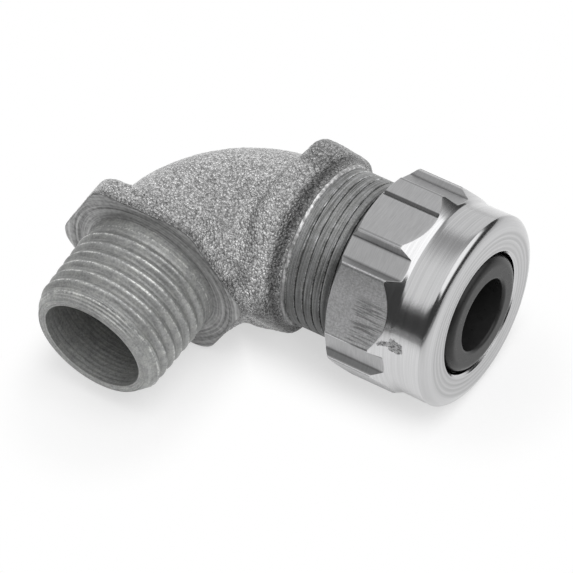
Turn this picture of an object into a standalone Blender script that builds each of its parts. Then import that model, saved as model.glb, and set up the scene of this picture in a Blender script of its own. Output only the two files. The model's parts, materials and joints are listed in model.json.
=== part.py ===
# Right-angle cord connector: a cast elbow body with a taper-threaded hub, a gland nut,
# a slip ring and a tapered sealing bushing.
# Lengths are in metres and angles in degrees. In the connector's own frame the gland axis
# is +X, the hub axis is -Y, and the two axes cross at the origin. A turn about either axis
# is counted from the elbow's plane towards +Z.

import math

import bmesh
import bpy
from mathutils import Matrix, Vector

# Elbow casting
BORE_RADIUS = 0.0079            # wire passage
ELBOW_WALL = 0.0025             # on the outside of the bend
ELBOW_INSET = 0.0021            # outer section's centre, off the axis towards the bend centre
BEND_CROTCH = 0.0005            # radius of the skin on the inside of the bend
HEX_RISE = 0.0012               # flats of both wrench flanges above the elbow
HEX_ROUND = 0.0044              # rounding of the flange corners
CAST_FILLET = 0.0025            # flange into elbow
MERGE_SHARE = 0.9               # how far the bend takes on the hexagon's shape at the hub flange
MERGE_SWEEP = 62.0              # part of the bend over which it grows round again
MERGE_START = -0.0080           # where this begins across the section, off the axis
MERGE_WIDTH = 0.0070            # width over which it grows, towards the inside of the bend
EMBED = 0.0004                  # overlap of joined shapes

# Hub: taper pipe thread, nominal half inch
HUB_FLANGE_REACH = 0.0010       # end of the bend to the shoulder face
HUB_FLANGE_WIDTH = 0.0038
HUB_EDGE = 0.0009               # rounding of the flange's back edge
HUB_LENGTH = 0.0152             # shoulder face to mouth
HUB_PITCH = 0.0254 / 14
HUB_CREST_RADIUS = 0.0103       # at the mouth
HUB_TAPER = 1 / 32              # radius for each length, growing towards the shoulder
HUB_THREAD_DEPTH = 0.00066
HUB_NECK_LENGTH = 0.0014        # plain neck beside the shoulder
HUB_NECK_HEIGHT = 0.00033       # neck above the thread root
HUB_LIP_DROP = 0.0008           # chamfered mouth below the first crest
HUB_LIP_LENGTH = 0.0016
HUB_FIRST_CREST = 0.0017        # mouth to a crest at turn 0

# Gland: straight thread
GLAND_FLANGE_REACH = 0.0031     # end of the bend to the flange's front face
GLAND_FLANGE_WIDTH = 0.0041
GLAND_EDGE = 0.0015             # rounding of the flange's edges
GLAND_FILLET = 0.0017           # flange into thread
GLAND_LENGTH = 0.0178           # flange front to the gland's end
GLAND_PITCH = 0.0254 / 18
GLAND_CREST_RADIUS = 0.01203
GLAND_THREAD_DEPTH = 0.0006
GLAND_LAND_LENGTH = 0.0022      # flange front to the thread's start
GLAND_CHAMFER = 0.0007
SEAT_LENGTH = 0.0100            # tapered seat of the bushing
SEAT_WALL = 0.0009              # seat's mouth to thread root

# Gland nut
NUT_LENGTH = 0.0166
NUT_WALL = 0.00201              # collar over the chamber
NUT_FLAT_RISE = 0.00034         # flats above the collar
NUT_TURN = 26.9                 # turn of the first flat
NUT_CHANNEL_WIDTH = 0.0033      # floor of the channel that relieves each corner
NUT_CHANNEL_DROP = 0.00018      # floor below the level of the flats
NUT_FLAT_WIDTH = 0.0104
NUT_BEVEL_WIDTH = 0.0004        # bevel along each side of a flat
NUT_BEVEL_DROP = 0.00016
NUT_COLLAR_LENGTH = 0.0067
NUT_CONE_ANGLE = 31.0           # chamfer between flats and collar, off the axis
NUT_REAR_ANGLE = 54.0           # chamfer across the corners at the rear, off the axis
NUT_REAR_DROP = 0.0001          # rim of the rear face below the flats
NUT_EDGE_ROUND = 0.0018
NUT_MOUTH_CHAMFER = 0.0003
NUT_LIP = 0.0029                # wall in front of the slip ring
NUT_RELIEF = 0.0016             # thread's end to the bushing's shoulder
NUT_LEAD_IN = 0.0007
GROOVE_FLAT = 1                 # flat that carries the index groove
GROOVE_OFFSET = -0.0020         # groove off the middle of its flat
GROOVE_WIDTH = 0.0009
GROOVE_DEPTH = 0.0003

# Slip ring and sealing bushing
RING_THICKNESS = 0.0008
RING_WIDTH = 0.00273            # bore to rim, which leaves room for the nose
CORD_RADIUS = 0.00546           # bore of the bushing
NOSE_ROUND = 0.0013
NOSE_PROUD = 0.00045            # nose beyond the nut's face
MOUTH_ROUND = 0.0005            # edge of the cord bore
SHOULDER_LENGTH = 0.0019
TIGHTEN_TURNS = 2               # turns left in the nut

# Clearances
SLIDE_GAP = 0.0003              # between pieces that bear on each other
RUNNING_GAP = 0.00045           # round the nose and round the ring
THREAD_GAP = 0.00025            # between the two gland threads, measured on the radius

# Facets
THREAD_SIDES = 32
TURNED_SIDES = 56
BORE_SIDES = 32
BEND_STEPS = 12
ROUND_STEPS = 4
SHARP_ANGLE = 35.0              # edges steeper than this stay sharp
CREST_EDGES = (0.28, 0.72)      # start and end of the crest within a pitch, from root to root

# Sizes that follow from the others
FLAT_STEP = 60.0                # angle from one flat of a hexagon to the next
ELBOW_RADIUS = BORE_RADIUS + ELBOW_INSET + ELBOW_WALL
BEND_RADIUS = ELBOW_RADIUS + ELBOW_INSET + BEND_CROTCH
HEX_APOTHEM = ELBOW_RADIUS + HEX_RISE
HUB_LIP_RADIUS = HUB_CREST_RADIUS - HUB_LIP_DROP
SEAT_RADIUS = GLAND_CREST_RADIUS - GLAND_THREAD_DEPTH - SEAT_WALL
NUT_MAJOR_RADIUS = GLAND_CREST_RADIUS + THREAD_GAP
CHAMBER_RADIUS = NUT_MAJOR_RADIUS + THREAD_GAP
RING_RADIUS = CHAMBER_RADIUS - RUNNING_GAP
MOUTH_RADIUS = RING_RADIUS - RING_WIDTH
NOSE_RADIUS = MOUTH_RADIUS - RUNNING_GAP
NUT_COLLAR_RADIUS = CHAMBER_RADIUS + NUT_WALL
NUT_APOTHEM = NUT_COLLAR_RADIUS + NUT_FLAT_RISE
TRAVEL = GLAND_PITCH * TIGHTEN_TURNS

# Places along the hub and gland axes
SHOULDER = BEND_RADIUS + HUB_FLANGE_REACH
HUB_END = SHOULDER + HUB_LENGTH
GLAND_FACE = BEND_RADIUS + GLAND_FLANGE_REACH
GLAND_END = GLAND_FACE + GLAND_LENGTH
SEAT_START = GLAND_END - SEAT_LENGTH
BUSHING_SHOULDER = GLAND_END + TRAVEL + SLIDE_GAP
RING_REAR = BUSHING_SHOULDER + SHOULDER_LENGTH + SLIDE_GAP
LIP_REAR = RING_REAR + RING_THICKNESS + SLIDE_GAP
NUT_FRONT = LIP_REAR + NUT_LIP
NUT_REAR = NUT_FRONT - NUT_LENGTH
NUT_THREAD_END = BUSHING_SHOULDER - NUT_RELIEF
NOSE_END = NUT_FRONT + NOSE_PROUD


# Shared modelling functions

def polar(radius, angle):
    turn = math.radians(angle)
    return radius * math.cos(turn), radius * math.sin(turn)


def circle(place, radius, sides):
    ring = []
    for side in range(sides):
        ring.append(Vector((place, *polar(radius, 360.0 * side / sides))))
    return ring


def add_object(name, bm, material=None):
    bmesh.ops.recalc_face_normals(bm, faces=bm.faces)
    mesh = bpy.data.meshes.new(name)
    bm.to_mesh(mesh)
    bm.free()
    mesh.shade_smooth()
    mesh.set_sharp_from_angle(angle=math.radians(SHARP_ANGLE))
    piece = bpy.data.objects.new(name, mesh)
    bpy.context.collection.objects.link(piece)
    if material:
        mesh.materials.append(material)
    return piece


def add_face(bm, corners):
    distinct = [vert for i, vert in enumerate(corners) if vert is not corners[i - 1]]
    if len(distinct) > 2:
        bm.faces.new(distinct)


def skin(rings, hollow=False):
    # Closed solid over a row of rings. A hollow one joins its last ring to its first.
    bm = bmesh.new()
    loops = [[bm.verts.new(point) for point in ring] for ring in rings]
    pairs = list(zip(loops, loops[1:]))
    if hollow:
        pairs.append((loops[-1], loops[0]))
    for near, far in pairs:
        for i in range(len(near)):
            bm.faces.new((near[i - 1], near[i], far[i], far[i - 1]))
    if not hollow:
        bm.faces.new(loops[0])
        bm.faces.new(loops[-1])
    return bm


def turned(profile, sides, hollow=False):
    return skin([circle(place, radius, sides) for place, radius in profile], hollow)


def rounding(place, radius, size):
    # Quarter round from a rim of the given radius to a face at the given place.
    points = []
    for step in range(ROUND_STEPS + 1):
        out, along = polar(size, 90.0 * step / ROUND_STEPS)
        points.append((place - size + along, radius - size + out))
    return points


def ramp(value, length):
    share = min(max(value / length, 0.0), 1.0)
    return share * share * (3.0 - 2.0 * share)


def threaded_rod(start, end, pitch, crest_place, radius_at):
    # Rod along +X whose skin follows a right-hand helix: three lines a pitch, the root and
    # the two edges of the crest. Lines that run past an end close up on its rim.
    heights = ((0.0, 0.0), (CREST_EDGES[0], 1.0), (CREST_EDGES[1], 1.0))
    root_place = crest_place - pitch * (CREST_EDGES[0] + CREST_EDGES[1]) / 2
    first = math.floor((start - root_place) / pitch) - 1
    last = math.ceil((end - root_place) / pitch) + 1
    lines = []
    for turn in range(first, last + 1):
        for share, height in heights:
            lines.append((root_place + (turn + share) * pitch, height))
    bm = bmesh.new()
    columns = []
    for side in range(THREAD_SIDES):
        angle = 360.0 * side / THREAD_SIDES
        ends = []
        for place in (start, end):
            ends.append(bm.verts.new((place, *polar(radius_at(place, 0.0), angle))))
        column = []
        for base, height in lines:
            place = base + pitch * side / THREAD_SIDES
            if place <= start:
                column.append(ends[0])
            elif place >= end:
                column.append(ends[1])
            else:
                column.append(bm.verts.new((place, *polar(radius_at(place, height), angle))))
        columns.append(column)
    for side in range(THREAD_SIDES):
        near = columns[side]
        far = columns[(side + 1) % THREAD_SIDES]
        shift = len(heights) if side == THREAD_SIDES - 1 else 0
        for i in range(len(lines) - 1 - shift):
            add_face(bm, (near[i], near[i + 1], far[i + 1 + shift], far[i + shift]))
    for line in (0, -1):
        bm.faces.new([column[line] for column in columns])
    return bm


def combine(piece, other, operation):
    other.hide_render = True
    other.display_type = 'WIRE'
    step = piece.modifiers.new(other.name, 'BOOLEAN')
    step.operation = operation
    step.object = other
    step.solver = 'EXACT'


def onto_hub_axis(bm):
    # Turns a shape built along +X onto the hub axis.
    bmesh.ops.rotate(bm, verts=bm.verts, matrix=Matrix.Rotation(math.radians(-90.0), 3, 'Z'))
    return bm


def finish(name, colour, roughness, metallic):
    material = bpy.data.materials.new(name)
    material.use_nodes = True
    shader = material.node_tree.nodes['Principled BSDF']
    shader.inputs['Base Color'].default_value = (*colour, 1.0)
    shader.inputs['Roughness'].default_value = roughness
    shader.inputs['Metallic'].default_value = metallic
    return material


# Elbow body

def hexagon(inset):
    # Rounded hexagon with its corners at turns 0, 60 and so on.
    apothem = HEX_APOTHEM - inset
    arc = max(HEX_ROUND - inset, HUB_EDGE)
    centre = (apothem - arc) / math.cos(math.radians(FLAT_STEP / 2))
    outline = []
    for corner in range(6):
        turn = FLAT_STEP * corner
        for step in range(ROUND_STEPS + 1):
            sweep = turn + FLAT_STEP * (step / ROUND_STEPS - 0.5)
            outline.append(Vector(polar(centre, turn)) + Vector(polar(arc, sweep)))
    return outline


def hex_ring(place, inset=0.0):
    return [Vector((place, point.x, point.y)) for point in hexagon(inset)]


def hex_reach(turn):
    # Distance from the axis to the outline of the full hexagon.
    half = math.radians(FLAT_STEP / 2)
    centre = (HEX_APOTHEM - HEX_ROUND) / math.cos(half)
    off_corner = math.radians(abs((turn + FLAT_STEP / 2) % FLAT_STEP - FLAT_STEP / 2))
    arc_end = math.atan2(HEX_ROUND * math.sin(half), centre + HEX_ROUND * math.cos(half))
    if off_corner > arc_end:
        return HEX_APOTHEM / math.cos(half - off_corner)
    across = centre * math.sin(off_corner)
    return centre * math.cos(off_corner) + math.sqrt(HEX_ROUND ** 2 - across ** 2)


def blend_ring(place, share, edge, radius, offset):
    # Between a circle, at share 0, and the flange's inset hexagon, at share 1.
    ring = []
    for point in hexagon(edge):
        direction = point.normalized()
        round_point = direction * radius + Vector((offset, 0.0))
        mixed = round_point.lerp(point, share)
        ring.append(Vector((place, mixed.x, mixed.y)))
    return ring


def fillet_rings(place, length, edge, radius, offset):
    # Hollow fillet from the hexagon at a place to a circle at a distance along the axis.
    rings = []
    for step in range(1, ROUND_STEPS + 1):
        along, inwards = polar(1.0, 90.0 * step / ROUND_STEPS)
        rings.append(blend_ring(place + length * (1.0 - along), 1.0 - inwards, edge, radius, offset))
    return rings


def edge_rings(place, size):
    # Rounded edge of the hexagon. A negative size rounds the edge away from +X.
    rings = []
    for step in range(1, ROUND_STEPS + 1):
        out, along = polar(abs(size), 90.0 * step / ROUND_STEPS)
        rings.append(hex_ring(place + math.copysign(along, size) - size, abs(size) - out))
    return rings


def bend_offset(place):
    # How far the bend's section has moved off an axis, at a place along that axis.
    arc = BEND_RADIUS - ELBOW_INSET
    return BEND_RADIUS - math.sqrt(arc ** 2 - (BEND_RADIUS - place) ** 2)


def flange(face, width, edge, towards_bend):
    # Back of a wrench flange, from inside the bend out to the full hexagon.
    back = face - width
    inner = back - CAST_FILLET
    offset = bend_offset(inner) * towards_bend
    fillet = fillet_rings(back, -CAST_FILLET, edge, ELBOW_RADIUS - EMBED, offset)
    return fillet[::-1] + edge_rings(back, -edge)[::-1] + [hex_ring(back + edge)]


def hub_flange():
    rings = flange(SHOULDER, HUB_FLANGE_WIDTH, HUB_EDGE, 1.0)
    rings.append(hex_ring(SHOULDER))
    return add_object('hub_flange', onto_hub_axis(skin(rings)))


def gland_flange():
    rings = flange(GLAND_FACE, GLAND_FLANGE_WIDTH, GLAND_EDGE, -1.0)
    rings.append(hex_ring(GLAND_FACE - GLAND_EDGE))
    rings.extend(edge_rings(GLAND_FACE, GLAND_EDGE))
    rings.extend(fillet_rings(GLAND_FACE, GLAND_FILLET, GLAND_EDGE, GLAND_CREST_RADIUS - EMBED, 0.0))
    return add_object('gland_flange', skin(rings))


def hub_radius(place, height):
    root = HUB_CREST_RADIUS - HUB_THREAD_DEPTH + (HUB_END - place) * HUB_TAPER
    full = ramp(place - SHOULDER - HUB_NECK_LENGTH, HUB_PITCH)
    depth = HUB_NECK_HEIGHT + (HUB_THREAD_DEPTH * height - HUB_NECK_HEIGHT) * full
    slope = (HUB_CREST_RADIUS - HUB_LIP_RADIUS) / HUB_LIP_LENGTH
    return min(root + depth, HUB_LIP_RADIUS + (HUB_END - place) * slope)


def gland_radius(place, height):
    full = ramp(place - GLAND_FACE - GLAND_LAND_LENGTH, GLAND_PITCH)
    thread = GLAND_CREST_RADIUS - GLAND_THREAD_DEPTH * (1.0 - height) * full
    root = GLAND_CREST_RADIUS - GLAND_THREAD_DEPTH
    return min(thread, root + (GLAND_END - place) * GLAND_THREAD_DEPTH / GLAND_CHAMFER)


def hub_thread():
    crest = HUB_END - HUB_FIRST_CREST
    rod = threaded_rod(SHOULDER - EMBED, HUB_END, HUB_PITCH, crest, hub_radius)
    return add_object('hub_thread', onto_hub_axis(rod))


def gland_thread():
    rod = threaded_rod(GLAND_FACE - EMBED, GLAND_END, GLAND_PITCH, GLAND_END, gland_radius)
    return add_object('gland_thread', rod)


def bore_section(sweep):
    return [Vector(polar(BORE_RADIUS, 360.0 * side / BORE_SIDES)) for side in range(BORE_SIDES)]


def cast_section(sweep):
    # Round, except that near the hub the top, the inside and the underside run on from the
    # hub flange's hexagon.
    merge = MERGE_SHARE * ramp(MERGE_SWEEP - sweep, MERGE_SWEEP)
    section = []
    for side in range(TURNED_SIDES):
        point = Vector(polar(ELBOW_RADIUS, 360.0 * side / TURNED_SIDES)) + Vector((ELBOW_INSET, 0.0))
        reach = hex_reach(math.degrees(math.atan2(point.y, point.x)))
        share = merge * ramp(point.x - MERGE_START, MERGE_WIDTH)
        section.append(point.lerp(point.normalized() * reach, share))
    return section


def bend_rings(section_at):
    # Sections set round the bend. Angle 0 is the hub's end of the bend and 90 the gland's.
    rings = []
    for step in range(BEND_STEPS + 1):
        sweep = 90.0 * step / BEND_STEPS
        cosine, sine = polar(1.0, sweep)
        outwards = Vector((-cosine, sine, 0.0))
        centre = Vector((BEND_RADIUS, -BEND_RADIUS, 0.0)) + outwards * BEND_RADIUS
        section = section_at(sweep)
        rings.append([centre - outwards * u + Vector((0.0, 0.0, v)) for u, v in section])
    return rings


def passage():
    # Straight through the hub, round the bend, and out through the bushing's seat.
    slope = (SEAT_RADIUS - BORE_RADIUS) / SEAT_LENGTH
    mouth = circle(HUB_END + EMBED, BORE_RADIUS, BORE_SIDES)
    rings = [[Vector((point.y, -point.x, point.z)) for point in mouth]]
    rings.extend(bend_rings(bore_section))
    seat = ((SEAT_START, BORE_RADIUS), (GLAND_END + EMBED, SEAT_RADIUS + EMBED * slope))
    for place, radius in seat:
        ring = circle(place, radius, BORE_SIDES)
        rings.append([Vector((place, -point.y, point.z)) for point in ring])
    return add_object('passage', skin(rings))


def elbow_body(material):
    body = add_object('elbow_body', skin(bend_rings(cast_section)), material)
    tools = [hub_flange(), gland_flange(), hub_thread(), gland_thread()]
    for tool in tools:
        combine(body, tool, 'UNION')
    bore = passage()
    combine(body, bore, 'DIFFERENCE')
    return [body, *tools, bore]


# Gland nut

def nut_outline():
    # Hexagon whose corners are relieved by flat-floored channels, with one index groove.
    floor = NUT_APOTHEM - NUT_CHANNEL_DROP
    bevel = NUT_APOTHEM - NUT_BEVEL_DROP
    side = NUT_FLAT_WIDTH / 2 + NUT_BEVEL_WIDTH
    outline = []
    for flat in range(6):
        turn = math.radians(NUT_TURN + FLAT_STEP * flat)
        channel = turn + math.radians(FLAT_STEP / 2)
        points = [(turn, bevel, -side), (turn, NUT_APOTHEM, -NUT_FLAT_WIDTH / 2)]
        if flat == GROOVE_FLAT:
            points.append((turn, NUT_APOTHEM, GROOVE_OFFSET - GROOVE_WIDTH / 2))
            points.append((turn, NUT_APOTHEM - GROOVE_DEPTH, GROOVE_OFFSET))
            points.append((turn, NUT_APOTHEM, GROOVE_OFFSET + GROOVE_WIDTH / 2))
        points.append((turn, NUT_APOTHEM, NUT_FLAT_WIDTH / 2))
        points.append((turn, bevel, side))
        points.append((channel, floor, -NUT_CHANNEL_WIDTH / 2))
        points.append((channel, floor, NUT_CHANNEL_WIDTH / 2))
        for facing, out, across in points:
            point = Vector((out, across))
            point.rotate(Matrix.Rotation(facing, 2))
            outline.append(point)
    return outline


def nut_prism():
    outline = nut_outline()
    rings = []
    for place in (NUT_REAR - EMBED, NUT_FRONT + EMBED):
        rings.append([Vector((place, point.x, point.y)) for point in outline])
    return add_object('nut_prism', skin(rings))


def nut_blank(material):
    # Turned blank: chamfers across the corners at both ends, the collar and the rounded front edge.
    widest = max(point.length for point in nut_outline())
    rim = NUT_APOTHEM - NUT_REAR_DROP
    rear = NUT_REAR + (widest - rim) / math.tan(math.radians(NUT_REAR_ANGLE))
    collar = NUT_FRONT - NUT_COLLAR_LENGTH
    cone = collar - (widest - NUT_COLLAR_RADIUS) / math.tan(math.radians(NUT_CONE_ANGLE))
    profile = [
        (NUT_REAR, rim),
        (rear, widest),
        (cone, widest),
        (collar, NUT_COLLAR_RADIUS),
    ]
    profile.extend(rounding(NUT_FRONT, NUT_COLLAR_RADIUS, NUT_EDGE_ROUND))
    return add_object('gland_nut', turned(profile, TURNED_SIDES), material)


def nut_thread_radius(place, height):
    cut = ramp(place - NUT_REAR, NUT_LEAD_IN) * ramp(NUT_THREAD_END - place, NUT_LEAD_IN)
    return NUT_MAJOR_RADIUS - GLAND_THREAD_DEPTH * (1.0 - height) * cut


def nut_thread():
    start = NUT_REAR - EMBED
    rod = threaded_rod(start, NUT_THREAD_END, GLAND_PITCH, GLAND_END, nut_thread_radius)
    return add_object('nut_thread', rod)


def nut_chamber():
    # Room for the ring and the bushing's shoulder, and the mouth round the nose.
    profile = [
        (NUT_THREAD_END - EMBED, CHAMBER_RADIUS),
        (LIP_REAR, CHAMBER_RADIUS),
        (LIP_REAR, MOUTH_RADIUS),
        (NUT_FRONT - NUT_MOUTH_CHAMFER, MOUTH_RADIUS),
        (NUT_FRONT + EMBED, MOUTH_RADIUS + NUT_MOUTH_CHAMFER + EMBED),
    ]
    return add_object('nut_chamber', turned(profile, TURNED_SIDES))


def gland_nut(material):
    nut = nut_blank(material)
    prism = nut_prism()
    thread = nut_thread()
    chamber = nut_chamber()
    combine(nut, prism, 'INTERSECT')
    combine(nut, thread, 'DIFFERENCE')
    combine(nut, chamber, 'DIFFERENCE')
    return [nut, prism, thread, chamber]


# Slip ring and sealing bushing

def slip_ring(material):
    front = RING_REAR + RING_THICKNESS
    profile = [
        (RING_REAR, MOUTH_RADIUS),
        (RING_REAR, RING_RADIUS),
        (front, RING_RADIUS),
        (front, MOUTH_RADIUS),
    ]
    return [add_object('slip_ring', turned(profile, TURNED_SIDES, hollow=True), material)]


def sealing_bushing(material):
    # The taper keeps clear of its seat until the nut has made its last turn.
    slope = (SEAT_RADIUS - BORE_RADIUS) / SEAT_LENGTH
    tail = SEAT_START + TRAVEL + SLIDE_GAP
    tail_radius = BORE_RADIUS - SLIDE_GAP
    taper_radius = tail_radius + slope * (BUSHING_SHOULDER - tail)
    shoulder_radius = CHAMBER_RADIUS - RUNNING_GAP
    profile = [
        (tail, CORD_RADIUS),
        (tail, tail_radius),
        (BUSHING_SHOULDER, taper_radius),
        (BUSHING_SHOULDER, shoulder_radius),
        (BUSHING_SHOULDER + SHOULDER_LENGTH, shoulder_radius),
        (BUSHING_SHOULDER + SHOULDER_LENGTH, NOSE_RADIUS),
    ]
    profile.extend(rounding(NOSE_END, NOSE_RADIUS, NOSE_ROUND))
    for step in range(ROUND_STEPS + 1):
        along, inwards = polar(MOUTH_ROUND, 90.0 * step / ROUND_STEPS)
        profile.append((NOSE_END - MOUTH_ROUND + along, CORD_RADIUS + MOUTH_ROUND - inwards))
    return [add_object('sealing_bushing', turned(profile, TURNED_SIDES, hollow=True), material)]


# Assembly

def stand(pieces):
    # Tilts the connector about the gland axis until the nut's lowest flat lies level, and
    # sets the lowest point at height zero with the origin below the middle of the box.
    tilt = (270.0 - NUT_TURN + FLAT_STEP / 2) % FLAT_STEP - FLAT_STEP / 2
    base = bpy.data.objects.new('connector', None)
    bpy.context.collection.objects.link(base)
    base.rotation_euler.x = math.radians(tilt)
    for piece in pieces:
        piece.parent = base
    bpy.context.view_layer.update()
    graph = bpy.context.evaluated_depsgraph_get()
    points = []
    for piece in pieces:
        if not piece.hide_render:
            solid = piece.evaluated_get(graph)
            points.extend(solid.matrix_world @ vert.co for vert in solid.data.vertices)
    lows = [min(point[axis] for point in points) for axis in range(3)]
    highs = [max(point[axis] for point in points) for axis in range(3)]
    base.location = (-(lows[0] + highs[0]) / 2, -(lows[1] + highs[1]) / 2, -lows[2])


def main():
    for old in list(bpy.data.objects):
        bpy.data.objects.remove(old)
    pieces = elbow_body(finish('cast_metal', (0.36, 0.36, 0.37), roughness=0.5, metallic=0.9))
    pieces += gland_nut(finish('bright_aluminium', (0.78, 0.78, 0.79), roughness=0.28, metallic=1.0))
    pieces += slip_ring(finish('slip_ring_steel', (0.6, 0.6, 0.6), roughness=0.35, metallic=1.0))
    pieces += sealing_bushing(finish('black_rubber', (0.035, 0.036, 0.038), roughness=0.6, metallic=0.0))
    stand(pieces)


main()
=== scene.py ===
# Right-angle cord connector on a pale floor:
# sandy cast elbow, turned threads, bright gland nut and rubber bushing.
# Shapes are worked out in millimetres in the connector's own frame:
# gland axis +X, hub axis -Y, the axes crossing at 0.

import json
import math

import bpy
import numpy as np
from mathutils import Matrix, Vector

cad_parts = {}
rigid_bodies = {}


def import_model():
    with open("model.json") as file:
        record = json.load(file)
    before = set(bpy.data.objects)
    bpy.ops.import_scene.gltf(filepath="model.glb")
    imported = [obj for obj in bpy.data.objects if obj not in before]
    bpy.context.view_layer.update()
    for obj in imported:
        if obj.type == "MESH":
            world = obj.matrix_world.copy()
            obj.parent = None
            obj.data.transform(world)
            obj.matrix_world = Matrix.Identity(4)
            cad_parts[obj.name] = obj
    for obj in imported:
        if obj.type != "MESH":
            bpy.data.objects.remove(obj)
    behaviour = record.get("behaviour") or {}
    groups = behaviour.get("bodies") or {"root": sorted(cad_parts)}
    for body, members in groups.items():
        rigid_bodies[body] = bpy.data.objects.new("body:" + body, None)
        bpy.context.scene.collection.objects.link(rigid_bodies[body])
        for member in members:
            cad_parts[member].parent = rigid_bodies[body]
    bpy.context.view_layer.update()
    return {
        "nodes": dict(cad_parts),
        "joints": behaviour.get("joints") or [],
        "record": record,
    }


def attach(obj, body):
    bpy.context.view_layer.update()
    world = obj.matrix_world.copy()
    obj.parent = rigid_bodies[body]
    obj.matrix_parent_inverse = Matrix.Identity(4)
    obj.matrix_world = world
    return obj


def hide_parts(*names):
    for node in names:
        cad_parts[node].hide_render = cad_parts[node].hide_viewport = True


for old in list(bpy.data.objects):
    bpy.data.objects.remove(old)
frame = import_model()
print("frame loaded:", ", ".join(sorted(frame["nodes"])))

# where the connector stands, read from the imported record
mm = 0.001
inch = 25.4
fullTurn = 2.0 * math.pi
record = frame["record"]
glandEnd = 36.0                                   # axis crossing to the end of the gland
turnPoint = Vector([j for j in frame["joints"] if j["name"] == "nut_turn"][0]["pos_m"])
hubAxis = Vector([m for m in record["mounts"] if m["name"] == "hub_shoulder"][0]["axis"])
tilt = math.atan2(-hubAxis.z, -hubAxis.y)
origin = turnPoint - Vector((glandEnd * mm, 0.0, 0.0))
stand = Matrix.Translation(origin) @ Matrix.Rotation(tilt, 4, "X")
toFrame = stand @ Matrix.Scale(mm, 4)
ontoHub = Matrix.Rotation(math.radians(-90.0), 4, "Z")


# node trees as plain expressions

class Wire:
    def __init__(self, net, socket):
        self.net = net
        self.socket = socket

    def math(self, operation, *values):
        sockets = dict(enumerate(values))
        return self.net.node("ShaderNodeMath", {"operation": operation}, sockets)

    def __add__(self, other):
        return self.math("ADD", self, other)

    def __radd__(self, other):
        return self.math("ADD", other, self)

    def __sub__(self, other):
        return self.math("SUBTRACT", self, other)

    def __rsub__(self, other):
        return self.math("SUBTRACT", other, self)

    def __mul__(self, other):
        return self.math("MULTIPLY", self, other)

    def __rmul__(self, other):
        return self.math("MULTIPLY", other, self)

    def __truediv__(self, other):
        return self.math("DIVIDE", self, other)

    def __rtruediv__(self, other):
        return self.math("DIVIDE", other, self)

    def __neg__(self):
        return self.math("MULTIPLY", self, -1.0)

    def __abs__(self):
        return self.math("ABSOLUTE", self)

    def low(self, other):
        return self.math("MINIMUM", self, other)

    def high(self, other):
        return self.math("MAXIMUM", self, other)

    def root(self):
        return self.math("SQRT", self)

    def sign(self):
        return self.math("SIGN", self)

    def fract(self):
        return self.math("FRACT", self)

    def ease(self, start, end, low=0.0, high=1.0):
        # smooth step from low at start to high at end
        sockets = {"Value": self, "From Min": start, "From Max": end, "To Min": low, "To Max": high}
        return self.net.node("ShaderNodeMapRange", {"interpolation_type": "SMOOTHSTEP"}, sockets)

    def between(self, start, end, low=0.0, high=1.0):
        # straight step from low at start to high at end
        sockets = {"Value": self, "From Min": start, "From Max": end, "To Min": low, "To Max": high}
        return self.net.node("ShaderNodeMapRange", {"clamp": True}, sockets)


class Net:
    def __init__(self, tree):
        self.tree = tree

    def node(self, kind, settings=None, sockets=None, out=0):
        made = self.tree.nodes.new(kind)
        for name, value in (settings or {}).items():
            setattr(made, name, value)
        for name, value in (sockets or {}).items():
            target = made.inputs[name]
            if isinstance(value, Wire):
                self.tree.links.new(value.socket, target)
            else:
                target.default_value = value
        return Wire(self, made.outputs[out]) if len(made.outputs) else None

    def other(self, wire, out):
        # another output of the node that a wire comes from
        return Wire(self, wire.socket.node.outputs[out])

    def split(self, vector):
        x = self.node("ShaderNodeSeparateXYZ", sockets={0: vector})
        return x, self.other(x, 1), self.other(x, 2)

    def join(self, x, y, z):
        return self.node("ShaderNodeCombineXYZ", sockets={0: x, 1: y, 2: z})

    def colour(self, red, green, blue):
        return self.node("ShaderNodeCombineColor", sockets={0: red, 1: green, 2: blue})

    def length(self, *parts):
        total = parts[0] * parts[0]
        for part in parts[1:]:
            total = total + part * part
        return total.root()


def newTree(name, inputs):
    # geometry tree with a mesh in, a mesh out and named inputs
    tree = bpy.data.node_groups.new(name, "GeometryNodeTree")
    tree.interface.new_socket("Geometry", in_out="INPUT", socket_type="NodeSocketGeometry")
    for title, kind in inputs.items():
        tree.interface.new_socket(title, in_out="INPUT", socket_type=kind)
    tree.interface.new_socket("Geometry", in_out="OUTPUT", socket_type="NodeSocketGeometry")
    net = Net(tree)
    entry = net.node("NodeGroupInput")
    wires = {"Geometry": entry}
    for title in inputs:
        wires[title] = net.other(entry, title)
    return net, wires


def keepValue(net, geometry, title, value):
    settings = {"data_type": "FLOAT", "domain": "POINT"}
    sockets = {"Geometry": geometry, "Name": title, "Value": value}
    return net.node("GeometryNodeStoreNamedAttribute", settings, sockets)


def endTree(net, geometry, material):
    whole = net.node("GeometryNodeRealizeInstances", sockets={"Geometry": geometry})
    whole = net.node("GeometryNodeSetMaterial", sockets={"Geometry": whole, "Material": material})
    net.node("NodeGroupOutput", sockets={"Geometry": whole})
    return net.tree


def addTree(piece, tree, values):
    modifier = piece.modifiers.new(tree.name, "NODES")
    modifier.node_group = tree
    for item in tree.interface.items_tree:
        if item.item_type == "SOCKET" and item.in_out == "INPUT" and item.name in values:
            modifier[item.identifier] = values[item.name]
    piece.update_tag()


def setPlain(piece):
    # the evaluated result as a plain mesh, with no modifier left
    graph = bpy.context.evaluated_depsgraph_get()
    bpy.context.view_layer.update()
    made = bpy.data.meshes.new_from_object(piece.evaluated_get(graph), depsgraph=graph)
    piece.modifiers.clear()
    piece.data = made
    return made


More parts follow.
